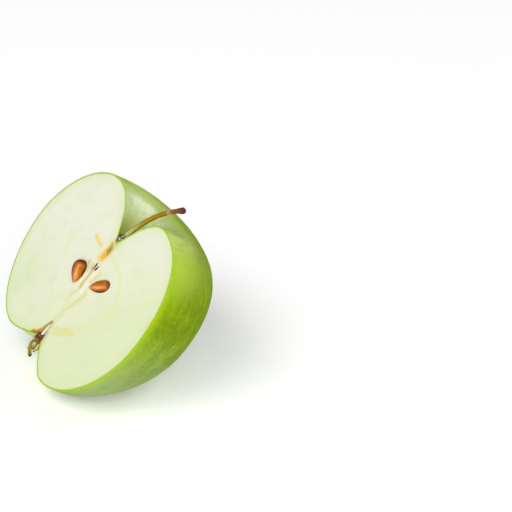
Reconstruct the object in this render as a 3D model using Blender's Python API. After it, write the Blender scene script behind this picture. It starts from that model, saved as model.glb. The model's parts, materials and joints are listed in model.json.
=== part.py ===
# Half of a green apple, cut from stem to calyx, standing on its back and foot with the cut
# face looking up and forward. The fruit is shaped whole, in a frame of its own: the core is
# the Z axis with the stem up, the cut face looks along -Y and the taller lobe is at +X.
# It is then halved, turned to the way it lies and set down on a small flat spot.

import math

import bmesh
import bpy
from mathutils import Matrix, Vector

MM = 0.001

# Outline of the fruit, as distance from the core and height in millimetres, on three sides.
# Each side has a crest beside the stem, a widest place and a foot beside the calyx. The
# fullness says how square the flank is above and below its widest place (2 is an ellipse).
TALL_LOBE = {
    "crest_out": 14.4, "crest_up": 34.5, "wide_out": 36.6, "wide_up": 0.9,
    "foot_out": 12.2, "foot_up": -33.7, "full_above": 2.2, "full_below": 1.76,
}
LOW_LOBE = {
    "crest_out": 15.7, "crest_up": 30.0, "wide_out": 37.4, "wide_up": -0.9,
    "foot_out": 16.3, "foot_up": -33.3, "full_above": 1.84, "full_below": 1.86,
}
BACK = {
    "crest_out": 17.2, "crest_up": 29.6, "wide_out": 40.0, "wide_up": -1.6,
    "foot_out": 14.0, "foot_up": -33.2, "full_above": 2.35, "full_below": 1.9,
}
PIT_FLOOR = 15.6
PIT_FLARE = 2.16
BASIN_FLOOR = -23.8
BASIN_FLARE = 1.62

# Shares of the way from pit floor to basin floor where the pit ends, the fruit is widest and
# the basin starts.
PIT_END = 0.17
WIDEST = 0.5
BASIN_START = 0.85

# Low ribs and a heel, centred at a share of the same way and fading out over another.
RIB_COUNT = 5
RIB_HEIGHT = 0.35
RIBS_AT = 0.83
RIBS_REACH = 0.11
HEEL_HEIGHT = 1.5
HEEL_AROUND = math.radians(150.0)
HEEL_WIDTH = math.radians(24.0)

# The knife passed a little in front of the core, so the whole stem stays on this half.
CUT_AHEAD = 1.1

# How the half lies: tipped back about X after a roll about Y, then pressed flat below.
TIP_BACK = math.radians(32.5)
ROLL = math.radians(16.0)
REST_PRESS = 1.7

# Seeds, each given by its pointed tip and blunt end as X, depth behind the cut and Z, and by
# the turn of its flat side round its length.
SEEDS = {
    "seed_1": {
        "tip": (-3.3, 0.8, -5.4), "blunt": (-6.2, -0.5, 3.25),
        "width": 5.9, "thickness": 3.2, "roll": math.radians(20.0),
    },
    "seed_2": {
        "tip": (3.6, -0.45, -0.3), "blunt": (10.5, 0.75, 6.95),
        "width": 4.4, "thickness": 3.2, "roll": math.radians(29.0),
    },
}
SEED_TAPER = 0.8
HOLLOW_GAP = 0.35

# Two narrow slits where the cut opened the middle of the core.
SLIT_LENGTH = 2.4
SLIT_WIDTH = 0.55
SLIT_DEPTH = 1.6
SLITS = [(-0.4, 6.0), (0.8, 5.9)]

# The calyx tube runs from the basin floor into the core, and the cut opened its front.
TUBE_MOUTH_RADIUS = 2.6
TUBE_TIP_RADIUS = 0.5
TUBE_BOTTOM = -27.0
TUBE_TOP = -17.4

# The stem curves over towards the tall lobe and a little back, and ends in a flare.
STEM_ROUTE = [(-0.6, 0.2, 17.0), (0.6, 0.0, 22.4), (3.0, 0.6, 34.6), (11.1, 2.4, 41.8)]
STEM_RINGS = 26
STEM_SIDES = 14
STEM_BASE_RADIUS = 1.1
STEM_NECK_RADIUS = 0.64
STEM_MIDDLE_RADIUS = 0.82
STEM_FLARE_RADIUS = 1.0
STEM_BASE_REACH = 0.14
STEM_FLARE_REACH = 0.08
SOCKET_GAP = 0.3
SOCKET_TOP = 19.6

# The dried calyx is a tuft in the tube's mouth with curled sepals round it. A sepal's
# heading is its angle round the core, and its lean and curl are measured from the core.
TUFT_RADIUS = 1.9
TUFT_CENTRE = -26.6
TUFT_LENGTH = 5.0
SEPALS = [
    {"heading": 186, "out": 1.1, "length": 9.6, "width": 3.0, "lean": 44, "curl": -126},
    {"heading": 240, "out": 1.0, "length": 6.8, "width": 3.0, "lean": 28, "curl": -75},
    {"heading": 318, "out": 1.0, "length": 5.2, "width": 2.6, "lean": 20, "curl": -60},
    {"heading": 30, "out": 1.1, "length": 5.6, "width": 2.8, "lean": 28, "curl": -60},
    {"heading": 112, "out": 1.2, "length": 6.6, "width": 3.0, "lean": 34, "curl": -70},
]
SEPAL_THICKNESS = 0.8
SEPAL_ROOT = -26.0
SEPAL_TAPER = 0.35

# How finely the pieces are faceted, and the angle past which an edge is sharp.
FRUIT_AROUND = 88
FRUIT_ALONG = 64
SEED_AROUND = 22
SEED_ALONG = 16
SLIT_AROUND = 12
SLIT_ALONG = 8
ROUND_HOLE_SIDES = 24
TUFT_AROUND = 16
TUFT_ALONG = 12
SEPAL_AROUND = 12
SEPAL_ALONG = 14
SHARP_EDGE = math.radians(40.0)

# Lengths in millimetres that count as nothing, and how finely a curve is measured.
ON_PLANE = 1e-4
CUT_TOLERANCE = 1e-6
CURVE_STEPS = 100


def clear_scene():
    for old in list(bpy.data.objects):
        bpy.data.objects.remove(old, do_unlink=True)


def material(name, colour, roughness):
    finish = bpy.data.materials.new(name)
    finish.use_nodes = True
    shader = finish.node_tree.nodes["Principled BSDF"]
    shader.inputs["Base Color"].default_value = (*colour, 1.0)
    shader.inputs["Roughness"].default_value = roughness
    shader.inputs["Metallic"].default_value = 0.0
    finish.diffuse_color = (*colour, 1.0)
    return finish


def add_object(name, bm, finishes):
    """Turn a bmesh in millimetres into an object in metres."""
    bmesh.ops.transform(bm, matrix=Matrix.Scale(MM, 4), verts=bm.verts)
    bmesh.ops.recalc_face_normals(bm, faces=bm.faces)
    mesh = bpy.data.meshes.new(name)
    bm.to_mesh(mesh)
    bm.free()
    for finish in finishes:
        mesh.materials.append(finish)
    piece = bpy.data.objects.new(name, mesh)
    bpy.context.scene.collection.objects.link(piece)
    return piece


def make_helper(piece, helpers):
    """Keep a piece as a cutter or as a shape to be joined, out of the model itself."""
    bpy.context.scene.collection.objects.unlink(piece)
    helpers.objects.link(piece)
    piece.hide_render = True
    piece.display_type = "WIRE"


def helper_collection(name):
    helpers = bpy.data.collections.new(name)
    bpy.context.scene.collection.children.link(helpers)
    return helpers


def add_boolean(piece, helpers, operation):
    """Cut away or join a whole collection in one exact step."""
    step = piece.modifiers.new(operation.lower(), "BOOLEAN")
    step.operation = operation
    step.operand_type = "COLLECTION"
    step.collection = helpers
    step.solver = "EXACT"
    step.material_mode = "TRANSFER"


def smooth(piece):
    piece.data.shade_smooth()
    piece.data.set_sharp_from_angle(angle=SHARP_EDGE)


def side_at(around):
    """Outline sizes at an angle round the core, blended between the three given sides."""
    tall_share = max(math.cos(around), 0.0) ** 2
    low_share = max(-math.cos(around), 0.0) ** 2
    back_share = 1.0 - tall_share - low_share
    blend = {}
    for size in BACK:
        blend[size] = (
            tall_share * TALL_LOBE[size] + low_share * LOW_LOBE[size] + back_share * BACK[size]
        )
    return blend


def outline_point(side, share):
    """Distance from the core and height, at a share of the way from pit floor to basin floor."""
    if share <= PIT_END:
        out = share / PIT_END
        drop = (side["crest_up"] - PIT_FLOOR) * (1.0 - out) ** PIT_FLARE
        return side["crest_out"] * out, side["crest_up"] - drop
    if share <= WIDEST:
        turn = 0.5 * math.pi * (share - PIT_END) / (WIDEST - PIT_END)
        power = 2.0 / side["full_above"]
        out = side["crest_out"] + (side["wide_out"] - side["crest_out"]) * math.sin(turn) ** power
        rise = (side["crest_up"] - side["wide_up"]) * max(math.cos(turn), 0.0) ** power
        return out, side["wide_up"] + rise
    if share <= BASIN_START:
        turn = 0.5 * math.pi * (share - WIDEST) / (BASIN_START - WIDEST)
        power = 2.0 / side["full_below"]
        reach = (side["wide_out"] - side["foot_out"]) * max(math.cos(turn), 0.0) ** power
        drop = (side["wide_up"] - side["foot_up"]) * math.sin(turn) ** power
        return side["foot_out"] + reach, side["wide_up"] - drop
    inward = (share - BASIN_START) / (1.0 - BASIN_START)
    rise = (BASIN_FLOOR - side["foot_up"]) * inward ** BASIN_FLARE
    return side["foot_out"] * (1.0 - inward), side["foot_up"] + rise


def swell_at(around, share):
    """Low ribs round the foot of the fruit, and a heel that stands lower under one lobe."""
    near_foot = math.exp(-(((share - RIBS_AT) / RIBS_REACH) ** 2))
    near_heel = math.exp(-(((around - HEEL_AROUND) / HEEL_WIDTH) ** 2))
    return near_foot * (RIB_HEIGHT * math.sin(RIB_COUNT * around) + HEEL_HEIGHT * near_heel)


def shape_fruit(bm):
    """Move the points of a unit ball, whose poles are on the core, to the fruit's outline."""
    for vert in bm.verts:
        share = math.acos(max(-1.0, min(1.0, vert.co.z))) / math.pi
        around = math.atan2(vert.co.y, vert.co.x)
        out, up = outline_point(side_at(around), share)
        swell = swell_at(around, share)
        flank = min(1.0, out / BACK["foot_out"])
        out += swell * flank
        vert.co = Vector((out * math.cos(around), out * math.sin(around), up - swell * flank))


def slice_off(bm, place, outward, face_material):
    """Cut with a flat plane, drop what is beyond it and close the flat."""
    geometry = bm.verts[:] + bm.edges[:] + bm.faces[:]
    bmesh.ops.bisect_plane(
        bm, geom=geometry, dist=CUT_TOLERANCE, plane_co=place, plane_no=outward,
        clear_outer=True,
    )
    rim = [edge for edge in bm.edges if edge.is_boundary]
    flats = bmesh.ops.triangle_fill(bm, use_beauty=True, use_dissolve=False, edges=rim)["geom"]
    for item in flats:
        if isinstance(item, bmesh.types.BMFace):
            item.material_index = face_material


def lie_turn():
    """The turn from the fruit's own frame to the way the half lies."""
    return Matrix.Rotation(-TIP_BACK, 4, "X") @ Matrix.Rotation(ROLL, 4, "Y")


def build_fruit(skin, flesh):
    """The flesh with its skin, and the turn and shift that set it down on its flat spot."""
    bm = bmesh.new()
    bmesh.ops.create_uvsphere(bm, u_segments=FRUIT_AROUND, v_segments=FRUIT_ALONG, radius=1.0)
    shape_fruit(bm)
    slice_off(bm, Vector((0.0, -CUT_AHEAD, 0.0)), Vector((0.0, -1.0, 0.0)), 1)
    down = lie_turn().to_3x3().inverted() @ Vector((0.0, 0.0, -1.0))
    reach = max(vert.co.dot(down) for vert in bm.verts) - REST_PRESS
    slice_off(bm, down * reach, down, 0)
    flat = [vert.co for vert in bm.verts if abs(vert.co.dot(down) - reach) < ON_PLANE]
    middle = sum(flat, Vector()) / len(flat)
    settle = lie_turn() @ Matrix.Translation(-middle)
    return add_object("fruit_body", bm, [skin, flesh]), settle


def seed_radius(angle):
    """Share of the seed's half width, from its blunt end at 0 to its pointed tip at pi."""
    return math.sin(angle) * math.cos(0.5 * angle) ** SEED_TAPER


def seed_shape(ends, gap):
    """A flattened drop between its two ends, grown by a gap where it is used as a hollow."""
    knife = Vector((0.0, -CUT_AHEAD, 0.0))
    tip = knife + Vector(ends["tip"])
    blunt = knife + Vector(ends["blunt"])
    along = (blunt - tip).normalized()
    across = Vector((0.0, 1.0, 0.0)).cross(along).normalized()
    across = Matrix.Rotation(ends["roll"], 3, along) @ across
    into = along.cross(across)
    middle = 0.5 * (tip + blunt)
    half_length = 0.5 * (blunt - tip).length + gap
    half_width = 0.5 * ends["width"] + gap
    half_thickness = 0.5 * ends["thickness"] + gap
    fullest = max(seed_radius(math.pi * step / CURVE_STEPS) for step in range(CURVE_STEPS))
    bm = bmesh.new()
    bmesh.ops.create_uvsphere(bm, u_segments=SEED_AROUND, v_segments=SEED_ALONG, radius=1.0)
    for vert in bm.verts:
        angle = math.acos(max(-1.0, min(1.0, vert.co.z)))
        around = math.atan2(vert.co.y, vert.co.x)
        share = seed_radius(angle) / fullest
        wide = half_width * share * math.cos(around)
        deep = half_thickness * share * math.sin(around)
        vert.co = middle + along * half_length * math.cos(angle) + across * wide + into * deep
    return bm


def slit_shape(place):
    """A thin lens along the core, half sunk in the cut face."""
    bm = bmesh.new()
    bmesh.ops.create_uvsphere(bm, u_segments=SLIT_AROUND, v_segments=SLIT_ALONG, radius=0.5)
    size = Matrix.Diagonal((SLIT_WIDTH, 2.0 * SLIT_DEPTH, SLIT_LENGTH, 1.0))
    centre = Matrix.Translation((place[0], -CUT_AHEAD, place[1]))
    bmesh.ops.transform(bm, matrix=centre @ size, verts=bm.verts)
    return bm


def round_shape(lower_radius, upper_radius, bottom, top):
    """A round taper on the core between two heights."""
    bm = bmesh.new()
    bmesh.ops.create_cone(
        bm, cap_ends=True, segments=ROUND_HOLE_SIDES, radius1=lower_radius,
        radius2=upper_radius, depth=top - bottom,
    )
    bmesh.ops.translate(bm, vec=(0.0, 0.0, 0.5 * (bottom + top)), verts=bm.verts)
    return bm


def hollow_out(fruit, flesh):
    """Seed hollows, core slits, the calyx tube and the stem's socket."""
    hollows = helper_collection("hollows")
    for name, ends in SEEDS.items():
        make_helper(add_object(name + "_hollow", seed_shape(ends, HOLLOW_GAP), [flesh]), hollows)
    for number, place in enumerate(SLITS, start=1):
        make_helper(add_object(f"slit_{number}", slit_shape(place), [flesh]), hollows)
    tube = round_shape(TUBE_MOUTH_RADIUS, TUBE_TIP_RADIUS, TUBE_BOTTOM, TUBE_TOP)
    make_helper(add_object("calyx_tube", tube, [flesh]), hollows)
    socket_radius = STEM_BASE_RADIUS + SOCKET_GAP
    stem_foot = Vector(STEM_ROUTE[0])
    socket = round_shape(socket_radius, socket_radius, stem_foot.z - SOCKET_GAP, SOCKET_TOP)
    bmesh.ops.translate(socket, vec=(stem_foot.x, stem_foot.y, 0.0), verts=socket.verts)
    make_helper(add_object("stem_socket", socket, [flesh]), hollows)
    add_boolean(fruit, hollows, "DIFFERENCE")


def curve_point(route, share):
    """A place on the smooth curve that four route points pull into shape."""
    left = 1.0 - share
    weights = (left ** 3, 3 * left ** 2 * share, 3 * left * share ** 2, share ** 3)
    place = Vector()
    for weight, point in zip(weights, route):
        place += weight * Vector(point)
    return place


def stem_radius(share):
    """A rough swollen base, a thin neck, a slightly thicker middle and a flared end."""
    near_base = math.exp(-((share / STEM_BASE_REACH) ** 2))
    near_end = math.exp(-(((1.0 - share) / STEM_FLARE_REACH) ** 2))
    base = (STEM_BASE_RADIUS - STEM_NECK_RADIUS) * near_base
    middle = (STEM_MIDDLE_RADIUS - STEM_NECK_RADIUS) * math.sin(math.pi * share)
    flare = (STEM_FLARE_RADIUS - STEM_NECK_RADIUS) * near_end
    return STEM_NECK_RADIUS + base + middle + flare


def stem_frame(share):
    """Place, direction and radius of the stem's ring at a share of its length."""
    before = curve_point(STEM_ROUTE, max(0.0, share - 1.0 / CURVE_STEPS))
    after = curve_point(STEM_ROUTE, min(1.0, share + 1.0 / CURVE_STEPS))
    turn = Vector((0.0, 0.0, 1.0)).rotation_difference(after - before).to_matrix().to_4x4()
    place = Matrix.Translation(curve_point(STEM_ROUTE, share))
    return place @ turn @ Matrix.Scale(stem_radius(share), 4)


def build_stem(finish):
    """A ring swept along the stem's curve, extruded from one place to the next."""
    bm = bmesh.new()
    ring = bmesh.ops.create_circle(bm, segments=STEM_SIDES, radius=1.0)["verts"]
    frame = stem_frame(0.0)
    bmesh.ops.transform(bm, matrix=frame, verts=ring)
    edges = list(bm.edges)
    for step in range(1, STEM_RINGS + 1):
        grown = bmesh.ops.extrude_edge_only(bm, edges=edges)["geom"]
        edges = [item for item in grown if isinstance(item, bmesh.types.BMEdge)]
        ring = [item for item in grown if isinstance(item, bmesh.types.BMVert)]
        next_frame = stem_frame(step / STEM_RINGS)
        bmesh.ops.transform(bm, matrix=next_frame @ frame.inverted(), verts=ring)
        frame = next_frame
    rims = [edge for edge in bm.edges if edge.is_boundary]
    bmesh.ops.holes_fill(bm, edges=rims, sides=STEM_SIDES)
    return add_object("stem", bm, [finish])


def bend_sepal(bm, sepal):
    """Shape a unit ball into a pointed blade that leans out from the core and curls."""
    lean = math.radians(sepal["lean"])
    curl = math.radians(sepal["curl"])
    length = sepal["length"]
    for vert in bm.verts:
        share = 0.5 * (1.0 + vert.co.z)
        taper = (1.0 - share) ** SEPAL_TAPER
        across = vert.co.x * 0.5 * sepal["width"] * taper
        thick = vert.co.y * 0.5 * SEPAL_THICKNESS
        angle = lean + curl * share
        down = length / curl * (math.sin(angle) - math.sin(lean))
        out = length / curl * (math.cos(lean) - math.cos(angle))
        out += sepal["out"] + thick * math.cos(angle)
        down -= thick * math.sin(angle)
        vert.co = Vector((out, across, SEPAL_ROOT - down))


def build_calyx(finish):
    """The tuft in the mouth of the tube with the sepals joined to it."""
    tuft = bmesh.new()
    bmesh.ops.create_uvsphere(tuft, u_segments=TUFT_AROUND, v_segments=TUFT_ALONG, radius=1.0)
    size = Matrix.Diagonal((TUFT_RADIUS, TUFT_RADIUS, 0.5 * TUFT_LENGTH, 1.0))
    centre = Matrix.Translation((0.0, 0.0, TUFT_CENTRE))
    bmesh.ops.transform(tuft, matrix=centre @ size, verts=tuft.verts)
    calyx = add_object("calyx", tuft, [finish])
    blades = helper_collection("sepals")
    for number, sepal in enumerate(SEPALS, start=1):
        blade = bmesh.new()
        bmesh.ops.create_uvsphere(
            blade, u_segments=SEPAL_AROUND, v_segments=SEPAL_ALONG, radius=1.0
        )
        bend_sepal(blade, sepal)
        heading = Matrix.Rotation(math.radians(sepal["heading"]), 4, "Z")
        bmesh.ops.transform(blade, matrix=heading, verts=blade.verts)
        make_helper(add_object(f"sepal_{number}", blade, [finish]), blades)
    add_boolean(calyx, blades, "UNION")
    return calyx


def build_apple_half():
    clear_scene()
    skin = material("green_skin", (0.34, 0.55, 0.03), 0.35)
    flesh = material("cream_flesh", (0.83, 0.86, 0.64), 0.6)
    bark = material("stem_bark", (0.24, 0.14, 0.03), 0.7)
    husk = material("dried_calyx", (0.13, 0.10, 0.04), 0.85)
    seed_coat = material("brown_seed_coat", (0.30, 0.09, 0.02), 0.3)

    fruit, settle = build_fruit(skin, flesh)
    hollow_out(fruit, flesh)
    pieces = [fruit, build_stem(bark), build_calyx(husk)]
    for name, ends in SEEDS.items():
        pieces.append(add_object(name, seed_shape(ends, 0.0), [seed_coat]))
    for piece in pieces:
        smooth(piece)

    placed = Matrix.Scale(MM, 4) @ settle @ Matrix.Scale(1.0 / MM, 4)
    lying = bpy.data.objects.new("lying_half", None)
    bpy.context.scene.collection.objects.link(lying)
    lying.matrix_world = placed
    for piece in bpy.data.objects:
        if piece is not lying:
            piece.parent = lying


build_apple_half()
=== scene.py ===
import json
import math

import bmesh
import bpy
from mathutils import Matrix, Vector, kdtree, noise

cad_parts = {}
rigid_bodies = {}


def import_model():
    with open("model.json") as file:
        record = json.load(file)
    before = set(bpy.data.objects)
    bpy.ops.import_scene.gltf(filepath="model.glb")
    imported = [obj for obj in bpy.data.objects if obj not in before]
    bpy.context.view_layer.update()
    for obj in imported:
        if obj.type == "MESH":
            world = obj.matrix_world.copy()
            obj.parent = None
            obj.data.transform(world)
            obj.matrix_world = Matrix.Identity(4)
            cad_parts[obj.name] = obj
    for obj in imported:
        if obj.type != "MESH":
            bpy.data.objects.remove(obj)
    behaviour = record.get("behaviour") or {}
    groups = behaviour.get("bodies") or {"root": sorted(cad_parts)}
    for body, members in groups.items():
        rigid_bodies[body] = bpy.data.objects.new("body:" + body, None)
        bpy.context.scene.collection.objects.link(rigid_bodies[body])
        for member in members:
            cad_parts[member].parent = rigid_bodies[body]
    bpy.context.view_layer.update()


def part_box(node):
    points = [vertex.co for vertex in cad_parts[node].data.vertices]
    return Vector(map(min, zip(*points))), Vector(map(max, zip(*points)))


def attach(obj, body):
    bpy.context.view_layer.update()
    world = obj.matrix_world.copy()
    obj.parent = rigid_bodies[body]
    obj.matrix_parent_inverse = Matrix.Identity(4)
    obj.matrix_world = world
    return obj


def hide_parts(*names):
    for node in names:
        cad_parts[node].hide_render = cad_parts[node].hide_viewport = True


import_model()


# The flesh and skin of the apple half. The real fruit is firm, moist flesh under a thin glossy
# skin, grown round its core, and a knife passed just in front of the core and halved it. It is
# shaped whole here, with its stem up and the cut face looking along -Y, in millimetres.

MM = 0.001

TALL_LOBE = {
    "crest_out": 14.4, "crest_up": 34.5, "wide_out": 36.6, "wide_up": 0.9,
    "foot_out": 12.2, "foot_up": -33.7, "full_above": 2.2, "full_below": 1.76,
}
LOW_LOBE = {
    "crest_out": 15.7, "crest_up": 30.0, "wide_out": 37.4, "wide_up": -0.9,
    "foot_out": 16.3, "foot_up": -33.3, "full_above": 1.84, "full_below": 1.86,
}
BACK = {
    "crest_out": 17.2, "crest_up": 29.6, "wide_out": 40.0, "wide_up": -1.6,
    "foot_out": 14.0, "foot_up": -33.2, "full_above": 2.35, "full_below": 1.9,
}
PIT_END, WIDEST, BASIN_START = 0.17, 0.5, 0.85
PIT_FLOOR = 15.6
PIT_FLARE = 2.16
BASIN_FLOOR = -23.8
BASIN_FLARE = 1.62
RIB_COUNT = 5
RIB_HEIGHT = 0.35
HEEL_HEIGHT = 1.5
HEEL_AROUND = math.radians(150.0)
HEEL_WIDTH = math.radians(24.0)
RIBS_AT, RIBS_REACH = 0.83, 0.11
CUT_AHEAD = 1.1
TIP_BACK = math.radians(32.5)
ROLL = math.radians(16.0)
REST_PRESS = 1.7

FRUIT_AROUND = 160
FRUIT_ALONG = 128
FACE_RINGS = 44
CREST_FROM, CREST_TO = 0.13, 0.22
CREST_PASSES = 10
RING_CROWDING = 1.25
SHARP_ANGLE = math.radians(40.0)


def side_at(around):
    """Outline sizes at an angle round the core, blended between the two lobes and the back."""
    tall_share = max(math.cos(around), 0.0) ** 2
    low_share = max(-math.cos(around), 0.0) ** 2
    back_share = 1.0 - tall_share - low_share
    return {
        size: tall_share * TALL_LOBE[size] + low_share * LOW_LOBE[size] + back_share * BACK[size]
        for size in BACK
    }


def outline_point(side, share):
    """Distance from the core and height, at a share of the way from pit floor to basin floor."""
    if share <= PIT_END:
        out = share / PIT_END
        drop = (side["crest_up"] - PIT_FLOOR) * (1.0 - out) ** PIT_FLARE
        return side["crest_out"] * out, side["crest_up"] - drop
    if share <= WIDEST:
        turn = 0.5 * math.pi * (share - PIT_END) / (WIDEST - PIT_END)
        power = 2.0 / side["full_above"]
        out = side["crest_out"] + (side["wide_out"] - side["crest_out"]) * math.sin(turn) ** power
        rise = (side["crest_up"] - side["wide_up"]) * max(math.cos(turn), 0.0) ** power
        return out, side["wide_up"] + rise
    if share <= BASIN_START:
        turn = 0.5 * math.pi * (share - WIDEST) / (BASIN_START - WIDEST)
        power = 2.0 / side["full_below"]
        reach = (side["wide_out"] - side["foot_out"]) * max(math.cos(turn), 0.0) ** power
        drop = (side["wide_up"] - side["foot_up"]) * math.sin(turn) ** power
        return side["foot_out"] + reach, side["wide_up"] - drop
    inward = (share - BASIN_START) / (1.0 - BASIN_START)
    rise = (BASIN_FLOOR - side["foot_up"]) * inward ** BASIN_FLARE
    return side["foot_out"] * (1.0 - inward), side["foot_up"] + rise


def swell_at(around, share):
    """Low ribs round the foot of the fruit, and a heel that stands lower under one lobe."""
    near_foot = math.exp(-(((share - RIBS_AT) / RIBS_REACH) ** 2))
    near_heel = math.exp(-(((around - HEEL_AROUND) / HEEL_WIDTH) ** 2))
    return near_foot * (RIB_HEIGHT * math.sin(RIB_COUNT * around) + HEEL_HEIGHT * near_heel)


def shape_fruit(bm):
    """Move the points of a unit ball, whose poles are on the core, to the fruit's outline."""
    crest = []
    for vert in bm.verts:
        share = math.acos(max(-1.0, min(1.0, vert.co.z))) / math.pi
        around = math.atan2(vert.co.y, vert.co.x)
        if CREST_FROM < share < CREST_TO:
            crest.append(vert)
        out, up = outline_point(side_at(around), share)
        flank = min(1.0, out / BACK["foot_out"])
        swell = swell_at(around, share) * flank
        out += swell
        vert.co = Vector((out * math.cos(around), out * math.sin(around), up - swell))
    for _ in range(CREST_PASSES):
        bmesh.ops.smooth_vert(
            bm, verts=crest, factor=0.5, use_axis_x=True, use_axis_y=True, use_axis_z=True
        )


def slice_off(bm, place, outward):
    """Cut with a flat plane, drop what is beyond it, and close the flat with one face."""
    geometry = bm.verts[:] + bm.edges[:] + bm.faces[:]
    bmesh.ops.bisect_plane(
        bm, geom=geometry, dist=1e-6, plane_co=place, plane_no=outward, clear_outer=True
    )
    rim = [edge for edge in bm.edges if edge.is_boundary]
    return bmesh.ops.holes_fill(bm, edges=rim, sides=0)["faces"][0]


def ring_the_face(bm, face):
    """Divide the cut face into rings that close on the core, so that it can carry relief."""
    round_core = Matrix.Translation((0.0, CUT_AHEAD, 0.0))
    reached = 1.0
    for ring in range(1, FACE_RINGS):
        share = 1.0 - ring / FACE_RINGS
        wanted = share ** RING_CROWDING
        bmesh.ops.inset_region(bm, faces=[face], thickness=0.0, depth=0.0)
        bmesh.ops.scale(
            bm, vec=Vector((1.0, 1.0, 1.0)) * wanted / reached, space=round_core, verts=face.verts
        )
        reached = wanted
    bmesh.ops.poke(bm, faces=[face])


# Grooves and ridges of the core, as left by the knife: start, end, half width and height.
CORE_RELIEF = [
    {"from": (-0.9, 4.6), "to": (-0.4, -2.7), "width": 0.6, "height": -0.2},
    {"from": (-0.4, -2.7), "to": (-1.2, -7.2), "width": 0.6, "height": -0.12},
    {"from": (-1.9, 1.6), "to": (-1.7, -3.4), "width": 0.5, "height": 0.12},
    {"from": (1.1, 4.6), "to": (1.3, -3.6), "width": 0.7, "height": 0.16},
    {"from": (3.1, 5.6), "to": (2.3, 1.4), "width": 0.5, "height": -0.12},
    {"from": (3.4, -3.0), "to": (1.2, -12.0), "width": 0.7, "height": -0.12},
    {"from": (-0.2, 16.4), "to": (-0.8, 9.2), "width": 1.0, "height": -0.2},
]
KNIFE_WAVE = 0.16
FLESH_GRAIN = 0.03
RELIEF_FADE = 1.5


def distance_to_line(x, z, start, end):
    """Distance in millimetres from a place on the cut face to a straight line on it."""
    along = Vector(end) - Vector(start)
    reach = Vector((x, z)) - Vector(start)
    share = max(0.0, min(1.0, reach.dot(along) / along.length_squared))
    return (reach - along * share).length


def relief_at(x, z):
    """How far the flesh stands in front of the knife's plane, in millimetres."""
    height = KNIFE_WAVE * noise.noise(Vector((0.07 * x, 0.07 * z, 4.0)))
    height += FLESH_GRAIN * noise.noise(Vector((0.9 * x, 0.9 * z, 9.0)))
    for mark in CORE_RELIEF:
        off = distance_to_line(x, z, mark["from"], mark["to"]) / mark["width"]
        height += mark["height"] * math.exp(-off * off)
    return height


def lie_turn():
    """The turn from the fruit's own frame to the way the half lies."""
    return Matrix.Rotation(-TIP_BACK, 4, "X") @ Matrix.Rotation(ROLL, 4, "Y")


def search_tree(places):
    """Places sorted so that the nearest one is found fast."""
    tree = kdtree.KDTree(len(places))
    for number, place in enumerate(places):
        tree.insert(place, number)
    tree.balance()
    return tree


def build_half():
    """The half in its own frame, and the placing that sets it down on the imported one."""
    bm = bmesh.new()
    bmesh.ops.create_uvsphere(bm, u_segments=FRUIT_AROUND, v_segments=FRUIT_ALONG, radius=1.0)
    shape_fruit(bm)
    down = lie_turn().to_3x3().inverted() @ Vector((0.0, 0.0, -1.0))
    reach = max(vert.co.dot(down) for vert in bm.verts) - REST_PRESS
    slice_off(bm, down * reach, down)
    face = slice_off(bm, Vector((0.0, -CUT_AHEAD, 0.0)), Vector((0.0, -1.0, 0.0)))

    turned = [lie_turn() @ vert.co for vert in bm.verts]
    low, high = (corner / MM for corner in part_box("fruit_body"))
    shift = Vector((0.0, 0.0, low.z - min(place.z for place in turned)))
    for axis in (0, 1):
        middle = 0.5 * (min(place[axis] for place in turned) + max(place[axis] for place in turned))
        shift[axis] = 0.5 * (low[axis] + high[axis]) - middle

    for outer in bm.faces:
        outer.material_index = 0
    face.material_index = 1
    ring_the_face(bm, face)
    rim = [vert.co for vert in bm.verts if len({f.material_index for f in vert.link_faces}) == 2]
    rim_tree = search_tree(rim)
    for vert in bm.verts:
        if all(near.material_index == 1 for near in vert.link_faces):
            fade = min(1.0, rim_tree.find(vert.co)[2] / RELIEF_FADE)
            vert.co.y -= fade * relief_at(vert.co.x, vert.co.z)
    return bm, Matrix.Translation(shift) @ lie_turn()


def add_object(name, bm, materials):
    """Turn a bmesh into an object of the scene."""
    bmesh.ops.recalc_face_normals(bm, faces=bm.faces)
    mesh = bpy.data.meshes.new(name)
    bm.to_mesh(mesh)
    bm.free()
    for material in materials:
        mesh.materials.append(material)
    piece = bpy.data.objects.new(name, mesh)
    bpy.context.scene.collection.objects.link(piece)
    return piece


def set_down(piece):
    """Move a piece from the fruit's own frame in millimetres to where the half lies."""
    piece.data.transform(Matrix.Scale(MM, 4) @ fruit_placing)
    piece.data.shade_smooth()


SEEDS = {
    "seed_1": {
        "tip": (-3.3, 0.8, -5.4), "blunt": (-6.2, -0.5, 3.25),
        "width": 5.9, "thickness": 3.2, "roll": math.radians(20.0),
    },
    "seed_2": {
        "tip": (3.6, -0.45, -0.3), "blunt": (10.5, 0.75, 6.95),
        "width": 4.4, "thickness": 3.2, "roll": math.radians(29.0),
    },
}
SEED_TAPER = 0.8
HOLLOW_GAP = 0.14
HOLLOW_SIDES, HOLLOW_RINGS = 48, 36
SLIT_LENGTH = 2.4
SLIT_WIDTH = 0.55
SLIT_DEPTH = 1.6
SLITS = [(-0.4, 6.0), (0.8, 5.9)]
TUBE_MOUTH_RADIUS = 2.6
TUBE_TIP_RADIUS = 0.5
TUBE_BOTTOM = -27.0
TUBE_TOP = -17.4
SOCKET_RADIUS = 1.4
SOCKET_BOTTOM = (-0.6, 0.2, 16.7)
SOCKET_TOP = 19.6


def seed_radius(angle):
    """Share of the seed's half width, from its blunt end at 0 to its pointed tip at pi."""
    return math.sin(angle) * math.cos(0.5 * angle) ** SEED_TAPER


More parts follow.
